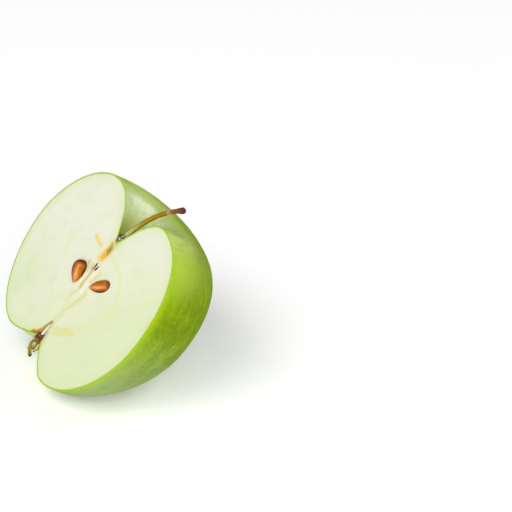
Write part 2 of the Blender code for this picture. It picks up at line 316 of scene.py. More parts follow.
def seed_shape(ends, gap, sides, rings):
    """A flattened drop between its two ends, grown by a gap where it is used as a hollow.

    Its layers keep the share of the way from tip to blunt end, and how far across and how far
    in a point is.
    """
    knife = Vector((0.0, -CUT_AHEAD, 0.0))
    tip = knife + Vector(ends["tip"])
    blunt = knife + Vector(ends["blunt"])
    lengthwise = (blunt - tip).normalized()
    sideways = Vector((0.0, 1.0, 0.0)).cross(lengthwise).normalized()
    sideways = Matrix.Rotation(ends["roll"], 3, lengthwise) @ sideways
    inward = lengthwise.cross(sideways)
    middle = 0.5 * (tip + blunt)
    half_length = 0.5 * (blunt - tip).length + gap
    half_width = 0.5 * ends["width"] + gap
    half_thickness = 0.5 * ends["thickness"] + gap
    fullest = max(seed_radius(math.pi * step / 100) for step in range(100))
    bm = bmesh.new()
    along = bm.verts.layers.float.new("along")
    across = bm.verts.layers.float.new("across")
    deep = bm.verts.layers.float.new("deep")
    bmesh.ops.create_uvsphere(bm, u_segments=sides, v_segments=rings, radius=1.0)
    for vert in bm.verts:
        angle = math.acos(max(-1.0, min(1.0, vert.co.z)))
        around = math.atan2(vert.co.y, vert.co.x)
        share = seed_radius(angle) / fullest
        vert[along] = 0.5 + 0.5 * math.cos(angle)
        vert[across] = share * math.cos(around)
        vert[deep] = share * math.sin(around)
        wide = sideways * half_width * vert[across]
        thick = inward * half_thickness * vert[deep]
        vert.co = middle + lengthwise * half_length * math.cos(angle) + wide + thick
    return bm


def slit_shape(place):
    """A thin lens along the core, half sunk in the cut face."""
    bm = bmesh.new()
    bmesh.ops.create_uvsphere(bm, u_segments=24, v_segments=16, radius=0.5)
    size = Matrix.Diagonal((SLIT_WIDTH, 2.0 * SLIT_DEPTH, SLIT_LENGTH, 1.0))
    centre = Matrix.Translation((place[0], -CUT_AHEAD, place[1]))
    bmesh.ops.transform(bm, matrix=centre @ size, verts=bm.verts)
    return bm


def round_shape(lower_radius, upper_radius, bottom, top):
    """A round taper that stands on a place near the core and reaches up to a height."""
    bm = bmesh.new()
    bmesh.ops.create_cone(
        bm, cap_ends=True, segments=48, radius1=lower_radius, radius2=upper_radius,
        depth=top - bottom[2],
    )
    middle = Vector((bottom[0], bottom[1], 0.5 * (bottom[2] + top)))
    bmesh.ops.translate(bm, vec=middle, verts=bm.verts)
    return bm


def hollow_out(half, materials):
    """Cut the seed hollows, core slits, calyx tube and stem socket into the half for good."""
    tube = round_shape(TUBE_MOUTH_RADIUS, TUBE_TIP_RADIUS, (0.0, 0.0, TUBE_BOTTOM), TUBE_TOP)
    socket = round_shape(SOCKET_RADIUS, SOCKET_RADIUS, SOCKET_BOTTOM, SOCKET_TOP)
    shapes = [seed_shape(ends, HOLLOW_GAP, HOLLOW_SIDES, HOLLOW_RINGS) for ends in SEEDS.values()]
    shapes += [slit_shape(place) for place in SLITS] + [tube, socket]
    hollows = bpy.data.collections.new("hollows")
    for shape in shapes:
        for face in shape.faces:
            face.material_index = 1
        cutter = add_object("hollow", shape, materials)
        hollows.objects.link(cutter)
    step = half.modifiers.new("hollows", "BOOLEAN")
    step.operand_type = "COLLECTION"
    step.collection = hollows
    step.solver = "EXACT"
    evaluated = half.evaluated_get(bpy.context.evaluated_depsgraph_get())
    cut_mesh = bpy.data.meshes.new_from_object(evaluated)
    half.modifiers.clear()
    half.data = cut_mesh
    for cutter in list(hollows.objects):
        bpy.data.objects.remove(cutter, do_unlink=True)
    bpy.data.collections.remove(hollows)


def mark_distance_from_rim(mesh):
    """Keep each point's distance from the edge where the skin was cut, for the colours near it."""
    kinds = [set() for _ in mesh.vertices]
    for polygon in mesh.polygons:
        for number in polygon.vertices:
            kinds[number].add(polygon.material_index)
    rim = [mesh.vertices[number].co for number, found in enumerate(kinds) if len(found) == 2]
    rim_tree = search_tree(rim)
    from_rim = mesh.attributes.new("from_rim", "FLOAT", "POINT")
    for number, vertex in enumerate(mesh.vertices):
        from_rim.data[number].value = rim_tree.find(vertex.co)[2]


class Signal:
    """One output of a material's nodes. Arithmetic on it adds Math nodes to the material."""

    def __init__(self, finish, socket):
        self.finish = finish
        self.socket = socket

    def math(self, operation, first, second=0.0):
        return self.finish.node("Math", {"operation": operation}, {0: first, 1: second})

    def __add__(self, other):
        return self.math("ADD", self, other)

    __radd__ = __add__

    def __sub__(self, other):
        return self.math("SUBTRACT", self, other)

    def __rsub__(self, other):
        return self.math("SUBTRACT", other, self)

    def __mul__(self, other):
        return self.math("MULTIPLY", self, other)

    __rmul__ = __mul__

    def __truediv__(self, other):
        return self.math("DIVIDE", self, other)

    def __pow__(self, other):
        return self.math("POWER", self, other)

    def at_least(self, other):
        return self.math("MAXIMUM", self, other)

    def at_most(self, other):
        return self.math("MINIMUM", self, other)

    def fade(self):
        """One where the value is 0, falling off softly as it grows."""
        return self.math("EXPONENT", self * self * -1.0)


LIGHT_LEVEL = 1.18


def paint(red, green, blue):
    """A colour as it is read from a picture of the lit fruit, as the share of light it gives back."""
    shares = [level / 255.0 for level in (red, green, blue)]
    linear = [
        share / 12.92 if share <= 0.04045 else ((share + 0.055) / 1.055) ** 2.4
        for share in shares
    ]
    return (*(level / LIGHT_LEVEL for level in linear), 1.0)


class Finish:
    """A material with one shader, and one way to add any other node to it."""

    def __init__(self, name, constants):
        self.material = bpy.data.materials.new(name)
        self.material.use_nodes = True
        self.tree = self.material.node_tree
        self.shader = self.tree.nodes["Principled BSDF"]
        self.feed(self.shader, constants)

    def feed(self, node, sockets):
        for name, value in sockets.items():
            if isinstance(value, Signal):
                self.tree.links.new(value.socket, node.inputs[name])
            else:
                node.inputs[name].default_value = value

    def node(self, kind, settings, sockets, output=0):
        node = self.tree.nodes.new("ShaderNode" + kind)
        for name, value in settings.items():
            if name == "stops":
                for _ in range(len(value) - len(node.color_ramp.elements)):
                    node.color_ramp.elements.new(0.5)
                for stop, (place, colour) in zip(node.color_ramp.elements, value):
                    stop.position = place
                    stop.color = colour
            else:
                setattr(node, name, value)
        self.feed(node, sockets)
        return Signal(self, node.outputs[output])

    def blend(self, share, below, above):
        """Two colours mixed by a share: all below at 0, all above at 1."""
        settings = {"data_type": "RGBA", "clamp_factor": True}
        return self.node("Mix", settings, {0: share, 6: below, 7: above}, output=2)

    def grain(self, vector, scale, detail=3.0, roughness=0.5):
        """Soft random cloud between 0 and 1."""
        sockets = {"Vector": vector, "Scale": scale, "Detail": detail, "Roughness": roughness}
        return self.node("TexNoise", {}, sockets)

    def ease(self, value, start, end):
        """A soft step from 0 at start to 1 at end."""
        sockets = {"Value": value, "From Min": start, "From Max": end}
        return self.node("MapRange", {"interpolation_type": "SMOOTHSTEP"}, sockets)

    def fruit_place(self):
        """The place on the fruit in millimetres, in the fruit's own frame."""
        where = self.node("TexCoord", {}, {}, output="Object")
        back = fruit_placing.inverted()
        sockets = {
            "Vector": where, "Location": back.translation,
            "Rotation": back.to_euler(), "Scale": (1.0 / MM, 1.0 / MM, 1.0 / MM),
        }
        return self.node("Mapping", {"vector_type": "POINT"}, sockets)

    def split(self, place):
        """The three parts of a place, each as a number."""
        return [self.node("SeparateXYZ", {}, {"Vector": place}, output=axis) for axis in range(3)]

    def layer(self, name):
        """A number that the mesh keeps at each of its points."""
        return self.node("Attribute", {"attribute_name": name}, {}, output="Fac")

    def stretched(self, vector, scale):
        """A pattern's vector, made closer or wider along each axis."""
        return self.node("VectorMath", {"operation": "MULTIPLY"}, {0: vector, 1: scale})

    def bump(self, height, depth, normal=None):
        """Fine relief that only the light sees, with its full depth in millimetres."""
        sockets = {"Height": height, "Distance": depth * MM, "Strength": 1.0}
        if normal is not None:
            sockets["Normal"] = normal
        return self.node("Bump", {}, sockets)

    def line(self, x, z, places, width):
        """A soft line through places on the cut face: 1 on it, 0 a few half widths away."""
        strongest = None
        for start, end in zip(places, places[1:]):
            along = Vector(end) - Vector(start)
            from_start_x = x - start[0]
            from_start_z = z - start[1]
            share = (from_start_x * along.x + from_start_z * along.y) * (1.0 / along.length_squared)
            share = share.at_least(0.0).at_most(1.0)
            off_x = (from_start_x - share * along.x) * (1.0 / width)
            off_z = (from_start_z - share * along.y) * (1.0 / width)
            here = off_x.math("EXPONENT", (off_x * off_x + off_z * off_z) * -1.0)
            strongest = here if strongest is None else strongest.at_least(here)
        return strongest


half_bm, fruit_placing = build_half()

SKIN_GREEN = paint(150, 184, 0)
# Deep green of the skin, also used as painted shade towards the back.
SKIN_DEEP_AND_SHADE = paint(114, 144, 0)
# Pale grey green: a painted reflection of the white floor on the low skin.
SKIN_PAINTED_FLOOR_REFLECTION = paint(186, 201, 156)
# Pale yellow green: painted light on the top of the shoulder.
SKIN_PAINTED_TOP_LIGHT = paint(198, 226, 92)
SKIN_PALE = paint(176, 209, 34)
SKIN_EDGE = paint(178, 212, 24)
SKIN_SPECK = paint(206, 226, 130)
# Pale green: painted light on the crest of the shoulder.
SKIN_CREST_PAINTED_LIGHT = paint(226, 246, 142)
PIT_GREEN = paint(198, 220, 144)
# Whitish waxy bloom, which is also a painted highlight in the pit.
PIT_BLOOM_AND_HIGHLIGHT = paint(226, 236, 204)
PIT_OLIVE = paint(154, 162, 46)
PIT_BROWN = paint(112, 104, 50)
# Pale green: painted light in the basin, which lies in shade.
BASIN_PAINTED_LIGHT_GREEN = paint(226, 238, 144)


def make_skin():
    """Thin waxy skin: mottled green in faint bands from stem to calyx, pale pores, and painted light and
    shade.
    """
    finish = Finish("green_skin", {
        "Specular IOR Level": 0.0, "Coat Roughness": 0.36, "Coat IOR": 2.2,
    })
    place = finish.fruit_place()
    x, y, z = finish.split(place)
    out = (x * x + y * y + 0.01) ** 0.5
    heading = finish.node("CombineXYZ", {}, {"X": x / out, "Y": y / out, "Z": z * 0.012})
    bands = finish.grain(heading, 9.0, detail=4.0, roughness=0.6)
    clouds = finish.grain(place, 0.07, detail=3.0)
    mottle = finish.grain(place, 0.7, detail=5.0, roughness=0.65)
    colour = finish.blend(finish.ease(clouds, 0.35, 0.7) * 0.8, SKIN_GREEN, SKIN_DEEP_AND_SHADE)
    # Painted shade: the skin darkens towards the back of the fruit.
    colour = finish.blend(finish.ease(y, 0.0, 11.0) * 0.8, colour, SKIN_DEEP_AND_SHADE)
    # Painted light on the top of the shoulder, weaker towards the back.
    high = finish.ease(z, 19.0, 32.0) * (1.0 - finish.ease(y, 6.0, 19.0) * 0.55)
    colour = finish.blend(high * 0.7, colour, SKIN_PAINTED_TOP_LIGHT)
    colour = finish.blend(finish.ease(bands, 0.42, 0.72) * 0.4, colour, SKIN_PALE)
    colour = finish.blend(finish.ease(mottle, 0.42, 0.7) * 0.3, colour, SKIN_PALE)
    # Painted reflection of the white floor: the low skin turns paler and greyer.
    colour = finish.blend((1.0 - finish.ease(z, -26.0, 14.0)) * 0.55, colour, SKIN_PAINTED_FLOOR_REFLECTION)
    by_rim = 1.0 - finish.ease(finish.layer("from_rim"), 0.3, 2.4)
    colour = finish.blend(by_rim * 0.7, colour, SKIN_EDGE)
    # Painted light on the crest of the shoulder.
    crest = ((out - 16.5) * (1.0 / 5.0)).fade() * finish.ease(z, 27.0, 32.0)
    colour = finish.blend(crest * 0.75, colour, SKIN_CREST_PAINTED_LIGHT)
    rings = finish.node("CombineXYZ", {}, {"X": x / out * 4.0, "Y": y / out * 4.0, "Z": out})
    creases = finish.grain(rings, 0.6, detail=3.0, roughness=0.6)
    on_shoulder = ((out - 19.0) * (1.0 / 7.0)).fade() * finish.ease(z, 16.0, 26.0)
    colour = finish.blend(on_shoulder * finish.ease(creases, 0.5, 0.68) * 0.3, colour, SKIN_DEEP_AND_SHADE)
    pores = finish.node(
        "TexVoronoi", {"feature": "F1"}, {"Vector": place, "Scale": 0.27, "Randomness": 1.0}
    )
    speck = 1.0 - finish.ease(pores, 0.04, 0.1)
    colour = finish.blend(speck * 0.5, colour, SKIN_SPECK)
    near_side = x.at_least(0.0) * 0.4
    in_pit = (1.0 - finish.ease(out + near_side, 8.0, 17.0)) * finish.ease(z, 10.0, 20.0)
    colour = finish.blend(in_pit * 0.8, colour, PIT_GREEN)
    # Painted highlight, partly the pit's waxy bloom: whitish streaks on the pit wall.
    pleats = finish.grain(heading, 11.0, detail=4.0, roughness=0.6)
    wax = finish.ease(pleats * 0.4 + mottle * 0.6, 0.42, 0.6)
    colour = finish.blend(in_pit * wax * finish.ease(out, 5.0, 9.0) * 0.65, colour, PIT_BLOOM_AND_HIGHLIGHT)
    by_stem = (1.0 - finish.ease(out, 2.2, 7.5)) * finish.ease(z, 10.0, 14.0)
    russet = finish.grain(heading, 26.0, detail=4.0, roughness=0.7)
    colour = finish.blend(by_stem, colour, PIT_OLIVE)
    colour = finish.blend(by_stem * finish.ease(russet, 0.5, 0.7) * 0.8, colour, PIT_BROWN)
    # Painted light: the shaded basin is painted pale green.
    in_basin = (1.0 - finish.ease(out, 9.0, 15.0)) * (1.0 - finish.ease(z, -30.0, -24.0))
    colour = finish.blend(in_basin, colour, BASIN_PAINTED_LIGHT_GREEN)
    waxy = (1.0 - finish.ease(out, 13.0, 17.0)) * finish.ease(z, 10.0, 20.0)
    waxy = waxy * (1.0 - finish.ease(x, 2.0, 9.0))
    height = mottle * 0.6 + speck * 0.5 + creases * on_shoulder * 1.5
    finish.feed(finish.shader, {
        "Base Color": colour,
        "Roughness": 0.3 + mottle * 0.14,
        "Coat Weight": 0.05 + waxy * 0.9,
        "Normal": finish.bump(height, 0.06),
    })
    return finish.material


FLESH_CREAM = paint(238, 240, 219)
FLESH_GREEN = paint(228, 236, 194)
FLESH_MOSS = paint(220, 233, 182)
FLESH_WHITE = paint(248, 244, 230)
CORE_CREAM = paint(242, 237, 213)
RIM_GREEN = paint(160, 200, 30)
VEIN_GREEN = paint(230, 235, 176)
NEAR_SKIN_GREEN = paint(220, 231, 168)
LOW_VEIN_GREEN = paint(226, 228, 164)
OLIVE_YELLOW = paint(214, 198, 96)
STREAK_YELLOW = paint(240, 221, 130)
STAIN_YELLOW = paint(240, 208, 84)
STAIN_ORANGE = paint(234, 156, 0)
STAIN_OLIVE = paint(164, 130, 0)
STAIN_PINK = paint(246, 200, 164)
SEED_SHADE = paint(186, 156, 60)
FOOT_YELLOW = paint(229, 227, 152)
TUBE_YELLOW = paint(208, 192, 84)
TUBE_BROWN = paint(140, 108, 0)
TUBE_ORANGE = paint(212, 142, 0)
# Pale olive: painted light on the deep wall of the calyx tube, which lies in shade.
TUBE_PAINTED_LIGHT = paint(238, 216, 120)
BASIN_BROWN = paint(116, 68, 26)
# Dark olive brown: painted shade in the hollows, with the lining's brown tint.
HOLLOW_PAINTED_SHADE = paint(130, 98, 30)
# Near black: painted shade in the core slits.
SLIT_PAINTED_SHADE = paint(30, 26, 0)

CORE_ARC = [
    (0.6, 12.6), (2.8, 12.8), (7.5, 12.6), (11.5, 11.8), (14.8, 8.9), (17.5, 5.4), (18.1, 1.5),
    (17.0, -3.3), (13.2, -9.1), (10.9, -13.2), (6.5, -18.0),
]
LEFT_LINE = [(-10.9, -12.5), (-7.1, -14.3), (-4.2, -17.0), (-2.3, -19.1)]
STAIN = [(0.1, 16.9), (-0.6, 15.2), (-0.2, 12.8), (-0.3, 11.5), (-1.0, 9.0)]
SIDE_STREAK = [(-9.3, 11.6), (-7.3, 11.4), (-4.6, 11.4)]
OLIVE_STRIP = [(-1.7, 5.0), (-0.5, 2.7), (-0.4, 0.7), (-0.4, -2.7)]
OLIVE_END = [(-0.4, -2.7), (-1.4, -6.4), (-0.8, -9.5)]
WHITE_STRIP = [(1.2, 5.2), (0.8, 3.4), (0.9, -0.9), (1.8, -3.7)]
LEFT_WHITE_STRIP = [(-1.9, 1.4), (-1.7, -2.0), (-1.9, -4.0)]
ORANGE_STRIP = [(3.1, 5.8), (2.8, 3.2), (2.3, 1.4)]
LOW_STRIP = [(4.0, -2.8), (3.6, -5.0), (2.6, -8.3), (1.2, -11.3), (1.1, -14.6), (0.6, -17.6)]
SEED_SIDE = [(-4.1, 4.6), (-3.5, 3.3), (-2.8, 2.2)]
FOOT_STREAKS = [
    [(2.6, -19.4), (4.3, -18.3), (8.6, -14.6)],
    [(3.4, -21.0), (5.7, -19.1), (11.2, -14.1)],
]
TUBE_LEFT_EDGE = [(-2.5, -25.0), (-1.5, -23.7), (-0.8, -21.5), (0.0, -18.8)]
BASIN_EDGE = [(-4.2, -26.8), (-3.5, -26.1), (-2.4, -25.1), (-1.6, -23.9)]
BELOW_BASIN_EDGE = [(-3.9, -27.5), (-3.1, -26.7), (-2.1, -25.8), (-1.4, -24.6)]
SLIT_SHADE_MARKS = [[(-0.5, 5.6), (-0.6, 6.7)], [(0.4, 4.9), (0.7, 6.1)]]
TUBE_RIGHT_HALO = [(0.6, -18.8), (1.4, -21.5), (2.0, -24.0), (3.2, -28.0)]
SHOULDER_EDGE = [(35.6, 17.9), (34.5, 11.6), (36.3, 8.5)]
GREEN_SPOTS = [[(-29.0, -9.6), (-28.0, -9.0)], [(-28.9, 6.5), (-28.2, 7.4)], [(-17.6, 0.5), (-16.8, 0.2)]]


def make_flesh():
    """Moist cream flesh, greener under the skin, with the core's strands, stain and hollows, painted
    shade in the hollows and slits, and painted light in the tube.
    """
    finish = Finish("cream_flesh", {
        "Roughness": 0.5, "Specular IOR Level": 0.3, "Subsurface Weight": 0.1,
        "Subsurface Radius": (0.9, 1.0, 0.5), "Subsurface Scale": 2.0 * MM,
    })
    place = finish.fruit_place()
    x, y, z = finish.split(place)
    wander = finish.grain(place, 0.5, detail=2.0)
    wander_more = finish.grain(finish.stretched(place, (1.0, 1.0, -1.0)), 0.6, detail=2.0)
    near_x = x + (wander - 0.5) * 0.8
    near_z = z + (wander_more - 0.5) * 0.8
    clouds = finish.grain(place, 0.06, detail=3.0)
    patches = finish.grain(place, 0.15, detail=4.0, roughness=0.6)
    cells = finish.grain(place, 1.1, detail=5.0, roughness=0.7)
    fibres = finish.grain(finish.stretched(place, (1.6, 1.0, 0.6)), 0.9, detail=4.0, roughness=0.6)
    in_fibres = finish.ease(fibres, 0.35, 0.62)

    def streak(below, above, places, width, steady, fibrous=0.0):
        """The colour with a soft line of another colour on it, all over and in its fibres."""
        weight = in_fibres * fibrous + steady
        return finish.blend(finish.line(near_x, near_z, places, width) * weight, below, above)

    by_left_foot = ((x + 24.0) / 11.0).fade() * ((z + 20.0) / 14.0).fade()
    lean = finish.ease(x * 0.022 + z * -0.014 + clouds, 0.2, 1.15)
    colour = finish.blend(lean, FLESH_CREAM, FLESH_GREEN)
    moss = finish.ease(patches, 0.48, 0.7) * 0.4 + by_left_foot * 0.6
    colour = finish.blend(moss, colour, FLESH_MOSS)
    colour = finish.blend(finish.ease(cells, 0.55, 0.85) * 0.3, colour, FLESH_WHITE)
    from_core = ((x - 3.0) * (x - 3.0) / 150.0 + (z + 1.0) * (z + 1.0) / 200.0) ** 0.5
    colour = finish.blend((1.0 - finish.ease(from_core, 0.2, 1.1)) * 0.4, colour, CORE_CREAM)
    for above, places, width, steady, fibrous in [
        (VEIN_GREEN, CORE_ARC, 0.8, 0.75, 0.0), (VEIN_GREEN, LEFT_LINE, 0.9, 0.5, 0.0),
        *((VEIN_GREEN, spot, 1.3, 0.35, 0.0) for spot in GREEN_SPOTS),
        (LOW_VEIN_GREEN, LOW_STRIP, 1.2, 0.85, 0.0),
        *((FOOT_YELLOW, foot_streak, 0.8, 0.65, 0.35) for foot_streak in FOOT_STREAKS),
        (LOW_VEIN_GREEN, OLIVE_END, 1.2, 0.4, 0.4), (OLIVE_YELLOW, OLIVE_STRIP, 0.95, 0.6, 0.35),
        (STREAK_YELLOW, ORANGE_STRIP, 0.75, 0.4, 0.6), (FLESH_WHITE, WHITE_STRIP, 0.55, 0.9, 0.0),
        (FLESH_WHITE, LEFT_WHITE_STRIP, 0.45, 0.9, 0.0), (STREAK_YELLOW, SIDE_STREAK, 0.9, 1.0, 0.0),
    ]:
        colour = streak(colour, above, places, width, steady, fibrous)
    stain = finish.line(near_x, near_z, STAIN, 1.6)
    colour = finish.blend(stain * (in_fibres * 0.4 + 0.85), colour, STAIN_YELLOW)
    inner_stain = finish.line(near_x, near_z, STAIN, 1.05)
    orange_share = finish.ease(cells, 0.44, 0.54) * (1.0 - finish.ease(z, 12.6, 14.0))
    orange_share = orange_share * finish.ease(z, 8.6, 10.6)
    colour = finish.blend(inner_stain * orange_share * 1.2, colour, STAIN_ORANGE)
    olive_share = finish.ease(wander_more, 0.4, 0.56) * finish.ease(z, 11.0, 12.8)
    colour = finish.blend(inner_stain * olive_share * 1.1, colour, STAIN_OLIVE)
    colour = finish.blend(inner_stain * finish.ease(fibres, 0.6, 0.7) * 0.8, colour, STAIN_PINK)
    colour = streak(colour, SEED_SHADE, SEED_SIDE, 0.8, 0.4, 0.3)
    colour = streak(colour, TUBE_YELLOW, TUBE_RIGHT_HALO, 0.75, 0.6, 0.4)
    colour = streak(colour, TUBE_BROWN, TUBE_LEFT_EDGE, 0.42, 1.0)
    colour = streak(colour, STAIN_YELLOW, SHOULDER_EDGE, 0.5, 0.6)

    from_rim = finish.layer("from_rim")
    colour = finish.blend((1.0 - finish.ease(from_rim, 0.2, 5.0)) * 0.45, colour, NEAR_SKIN_GREEN)
    colour = finish.blend(1.0 - finish.ease(from_rim, 0.2, 0.9), colour, RIM_GREEN)
    colour = streak(colour, STAIN_YELLOW, BASIN_EDGE, 0.7, 0.8)
    colour = streak(colour, TUBE_ORANGE, BASIN_EDGE, 0.34, 0.7, 0.3)
    colour = streak(colour, BASIN_BROWN, BELOW_BASIN_EDGE, 0.5, 0.6, 0.4)

    # Painted shade on the sunk surfaces of the hollows, with the lining's brown tint.
    sunk = finish.ease(y, -CUT_AHEAD + 0.3, -CUT_AHEAD + 0.9)
    colour = finish.blend(sunk * 0.9, colour, HOLLOW_PAINTED_SHADE)
    # Painted shade in the core slits, with dark lines drawn over them.
    at_slits = (1.0 - finish.ease(z, 7.6, 8.2)) * finish.ease(z, 3.9, 4.4)
    at_slits = at_slits * (1.0 - finish.ease(x.math("ABSOLUTE", x - 0.2), 1.2, 1.5))
    slit_depth = finish.ease(y, -CUT_AHEAD, -CUT_AHEAD + 0.2)
    colour = finish.blend(at_slits * slit_depth, colour, SLIT_PAINTED_SHADE)
    for slit_mark in SLIT_SHADE_MARKS:
        slit_shade = finish.line(x, z, slit_mark, 0.32)
        colour = finish.blend(slit_shade, colour, SLIT_PAINTED_SHADE)
    # Painted light on the deep wall of the calyx tube.
    in_tube = 1.0 - finish.ease(z, -17.6, -17.0)
    colour = finish.blend(in_tube * sunk, colour, TUBE_PAINTED_LIGHT)
    finish.feed(finish.shader, {
        "Base Color": colour,
        "Normal": finish.bump(cells, 0.05),
    })
    return finish.material


skin = make_skin()
flesh = make_flesh()
half = add_object("apple_half", half_bm, [skin, flesh])
hollow_out(half, [skin, flesh])
mark_distance_from_rim(half.data)
set_down(half)
half.data.set_sharp_from_angle(angle=SHARP_ANGLE)
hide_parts("fruit_body")
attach(half, "root")


# The two seeds. Each is a hard, polished brown coat in the shape of a flattened drop, lying in
# its hollow with half of it above the cut. It grew there, and only the hollow holds it.

SEED_BROWN = paint(180, 84, 22)
SEED_RED = paint(202, 98, 44)
# Dark brown of the coat's lines and blunt end, also used as painted shade at its edges.
SEED_DARK_AND_SHADE = paint(84, 28, 0)
# Pale peach: a painted highlight along the top of each seed.
SEED_PAINTED_HIGHLIGHT = paint(250, 182, 106)
SEED_GOLD = paint(196, 114, 0)
SEED_TIP = paint(250, 200, 120)

COAT_SIDES, COAT_RINGS = 72, 56

# Places across each coat: the painted highlight band, where and on which side it turns golden, and where
# the painted shade at the dark edges begins.
COAT_BANDS = {
    "seed_1": {"pale": -0.05, "golden": 0.22, "golden_side": 1.0, "left": -0.6, "right": 0.52},
    "seed_2": {"pale": -0.12, "golden": 0.5, "golden_side": -1.0, "left": -0.9, "right": 0.36},
}


def make_seed_coat(name, bands):
    """Brown coat with fine lines from tip to blunt end, a painted highlight along the top, painted shade
    at the edges and a dark blunt end.
    """
    finish = Finish(name, {"Roughness": 0.32, "Specular IOR Level": 0.07})
    along = finish.layer("along")
    across = finish.layer("across")
    deep = finish.layer("deep")
    stripe_place = finish.node("CombineXYZ", {}, {"X": across, "Y": deep, "Z": along * 0.3})
    stripes = finish.grain(stripe_place, 7.0, detail=4.0, roughness=0.65)
    patches = finish.grain(stripe_place, 1.8, detail=2.0)
    lines = finish.ease(stripes, 0.3, 0.65)
    colour = finish.blend(finish.ease(patches, 0.35, 0.65), SEED_BROWN, SEED_RED)
    golden = finish.ease(across * bands["golden_side"], bands["golden"] - 0.1, bands["golden"] + 0.1)
    colour = finish.blend(golden, colour, SEED_GOLD)
    colour = finish.blend((1.0 - lines) * 0.45, colour, SEED_DARK_AND_SHADE)
    # Painted highlight: a pale peach band along the top of the coat.
    pale = ((across - bands["pale"]) * 3.8).fade() * ((along - 0.5) * 2.5).fade()
    colour = finish.blend(pale * (lines * 0.6 + 0.5), colour, SEED_PAINTED_HIGHLIGHT)
    # Painted shade at the coat's side edges, where it curves away and dips under the cut.
    right_painted_shade = finish.ease(across, bands["right"], bands["right"] + 0.22)
    left_painted_shade = 1.0 - finish.ease(across, bands["left"] - 0.2, bands["left"])
    colour = finish.blend(right_painted_shade.at_least(left_painted_shade) * 0.9, colour, SEED_DARK_AND_SHADE)
    colour = finish.blend(finish.ease(along, 0.8, 0.97) * 0.85, colour, SEED_DARK_AND_SHADE)
    colour = finish.blend((1.0 - finish.ease(along, 0.04, 0.2)) * 0.9, colour, SEED_TIP)
    finish.feed(finish.shader, {
        "Base Color": colour,
        "Normal": finish.bump(stripes, 0.05),
    })
    return finish.material


for name, ends in SEEDS.items():
    coat = make_seed_coat(name, COAT_BANDS[name])
    seed = add_object(name + "_coat", seed_shape(ends, 0.0, COAT_SIDES, COAT_RINGS), [coat])
    set_down(seed)
    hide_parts(name)
    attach(seed, "root")


# The stem. A short woody stalk that grew out of the bottom of the pit, rough and black where it
# leaves the flesh, golden brown along its bend, with a flared red-brown end where it came off
# the twig. It is one ring swept along its curve.

STEM_ROUTE = [(-0.6, 0.2, 17.0), (0.6, 0.0, 22.4), (3.0, 0.6, 34.6), (11.1, 2.4, 41.8)]
STEM_RINGS = 150
STEM_SIDES = 36
STEM_BASE_RADIUS = 1.1
STEM_NECK_RADIUS = 0.64
STEM_MIDDLE_RADIUS = 0.82
STEM_FLARE_RADIUS = 1.0
STEM_BASE_REACH = 0.14
STEM_FLARE_REACH = 0.08


def curve_point(route, share):
    """A place on the smooth curve that four route points pull into shape."""
    left = 1.0 - share
    weights = (left ** 3, 3 * left ** 2 * share, 3 * left * share ** 2, share ** 3)
    place = Vector()
    for weight, point in zip(weights, route):
        place += weight * Vector(point)
    return place


def stem_radius(share):
    """A rough swollen base, a thin neck, a slightly thicker middle and a flared end."""
    base = (STEM_BASE_RADIUS - STEM_NECK_RADIUS) * math.exp(-((share / STEM_BASE_REACH) ** 2))
    middle = (STEM_MIDDLE_RADIUS - STEM_NECK_RADIUS) * math.sin(math.pi * share)
    flare_off = (1.0 - share) / STEM_FLARE_REACH
    flare = (STEM_FLARE_RADIUS - STEM_NECK_RADIUS) * math.exp(-flare_off * flare_off)
    return STEM_NECK_RADIUS + base + middle + flare


def tube_frame(route, radius, share):
    """Place, direction and size of a tube's ring at a share of its length."""
    before = curve_point(route, max(0.0, share - 0.01))
    after = curve_point(route, min(1.0, share + 0.01))
    turn = Vector((0.0, 0.0, 1.0)).rotation_difference(after - before).to_matrix().to_4x4()
    return Matrix.Translation(curve_point(route, share)) @ turn @ Matrix.Scale(radius, 4)


def sweep_tube(bm, route, radius_at, rings, sides):
    """Add a closed tube along a curve. The layer named along keeps the share of the way."""
    along = bm.verts.layers.float["along"]
    ring = bmesh.ops.create_circle(bm, segments=sides, radius=1.0)["verts"]
    frame_here = tube_frame(route, radius_at(0.0), 0.0)
    bmesh.ops.transform(bm, matrix=frame_here, verts=ring)
    edges = list({edge for vert in ring for edge in vert.link_edges})
    for step in range(1, rings + 1):
        grown = bmesh.ops.extrude_edge_only(bm, edges=edges)["geom"]
        edges = [item for item in grown if isinstance(item, bmesh.types.BMEdge)]
        ring = [item for item in grown if isinstance(item, bmesh.types.BMVert)]
        next_frame = tube_frame(route, radius_at(step / rings), step / rings)
        bmesh.ops.transform(bm, matrix=next_frame @ frame_here.inverted(), verts=ring)
        for vert in ring:
            vert[along] = step / rings
        frame_here = next_frame
    rims = [edge for edge in bm.edges if edge.is_boundary]
    for cap in bmesh.ops.holes_fill(bm, edges=rims, sides=sides)["faces"]:
        bmesh.ops.inset_region(bm, faces=[cap], thickness=0.25 * radius_at(1.0), depth=0.0)
        bmesh.ops.poke(bm, faces=[cap])


def roughen_bark(bm):
    """Long ridges down the stem, and a knobbly base and end."""
    along = bm.verts.layers.float["along"]
    for vert in bm.verts:
        share = vert[along]
        axis = curve_point(STEM_ROUTE, share)
        outward = vert.co - axis
        if outward.length < 0.2:
            continue
        spread = outward.normalized()
        ridges = noise.noise(Vector((2.6 * spread.x, 2.6 * spread.y, 2.6 * spread.z + 5.0 * share)))
        knobs = noise.noise(vert.co * 1.5 + Vector((7.0, 0.0, 0.0)))
        ends = math.exp(-((share / 0.16) ** 2)) + 0.8 * math.exp(-(((1.0 - share) / 0.07) ** 2))
        vert.co = axis + outward * (1.0 + 0.09 * ridges + (0.06 + 0.3 * ends) * knobs)


